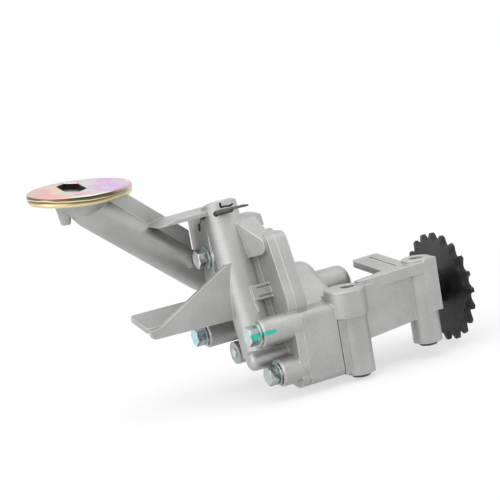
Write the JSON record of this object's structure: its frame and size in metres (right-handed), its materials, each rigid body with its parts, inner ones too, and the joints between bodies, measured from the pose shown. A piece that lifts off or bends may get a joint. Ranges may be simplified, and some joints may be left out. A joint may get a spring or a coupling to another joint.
{
  "type": "engine oil pump",
  "caption": "Chain-driven gear oil pump with an arm of mounting bosses, a bolted cover, a leaning relief valve and a raised pickup strainer.",
  "frame": {"origin": "centre of the bolt hole of the pump-side mounting boss, on its mating face", "axes": "+X along the drive shaft towards the sprocket, +Z out of the mounting faces' back, towards the strainer, +Y completes the frame"},
  "size_m": [0.2331, 0.0987, 0.1362],
  "materials": {
    "cast_aluminium": "as-cast, fine grained, bead blasted, edges brighter",
    "ground_steel": "ground bright steel",
    "sintered_steel": "sintered, oiled, grey",
    "black_steel": "phosphated black, slight sheen",
    "dark_steel": "oiled black steel",
    "spring_steel": "drawn spring wire",
    "bearing_bronze": "bored bearing bronze",
    "zinc_steel": "bright zinc plate",
    "yellow_zinc_steel": "yellow passivated zinc, iridescent pink, green and gold",
    "gauze_wire": "fine wire gauze"
  },
  "bodies": {
    "housing": {"pump_body": "cast_aluminium", "pump_cover": "cast_aluminium", "nose_bush": "bearing_bronze", "body_bush": "bearing_bronze", "cover_bush": "bearing_bronze", "idler_pin": "ground_steel", "mounting_dowels": "dark_steel", "cover_dowels": "ground_steel", "relief_spring": "spring_steel", "relief_spring_seat": "ground_steel", "split_pin": "dark_steel", "cover_bolt_near_top": "zinc_steel", "cover_bolt_near_low": "zinc_steel", "cover_bolt_far_top": "zinc_steel", "cover_bolt_far_low": "zinc_steel", "bolt_washers": "zinc_steel", "gallery_plug": "zinc_steel", "strainer_plate": "yellow_zinc_steel", "strainer_gauze": "gauze_wire"},
    "rotor": {"drive_shaft": "ground_steel", "drive_gear": "sintered_steel", "sprocket": "black_steel"},
    "idler": {"driven_gear": "sintered_steel", "idler_bush": "bearing_bronze"},
    "plunger": {"relief_plunger": "ground_steel"}
  },
  "joints": [
    {"name": "shaft_spin", "type": "hinge", "parent": "housing", "child": "rotor", "pos_m": [0, 0.021, 0.0295], "axis": [1, 0, 0], "continuous": true},
    {"name": "idler_spin", "type": "hinge", "parent": "housing", "child": "idler", "pos_m": [0, 0.042, 0.0435], "axis": [1, 0, 0], "continuous": true},
    {"name": "relief_slide", "type": "slide", "parent": "housing", "child": "plunger", "axis": [0, 0.2706, 0.9627], "range_m": [0, 0.008], "stiffness_N_per_m": 1000, "deforming": ["relief_spring"]}
  ],
  "couplings": [
    {"joint": "idler_spin", "follows": "shaft_spin", "ratio": -1}
  ]
}
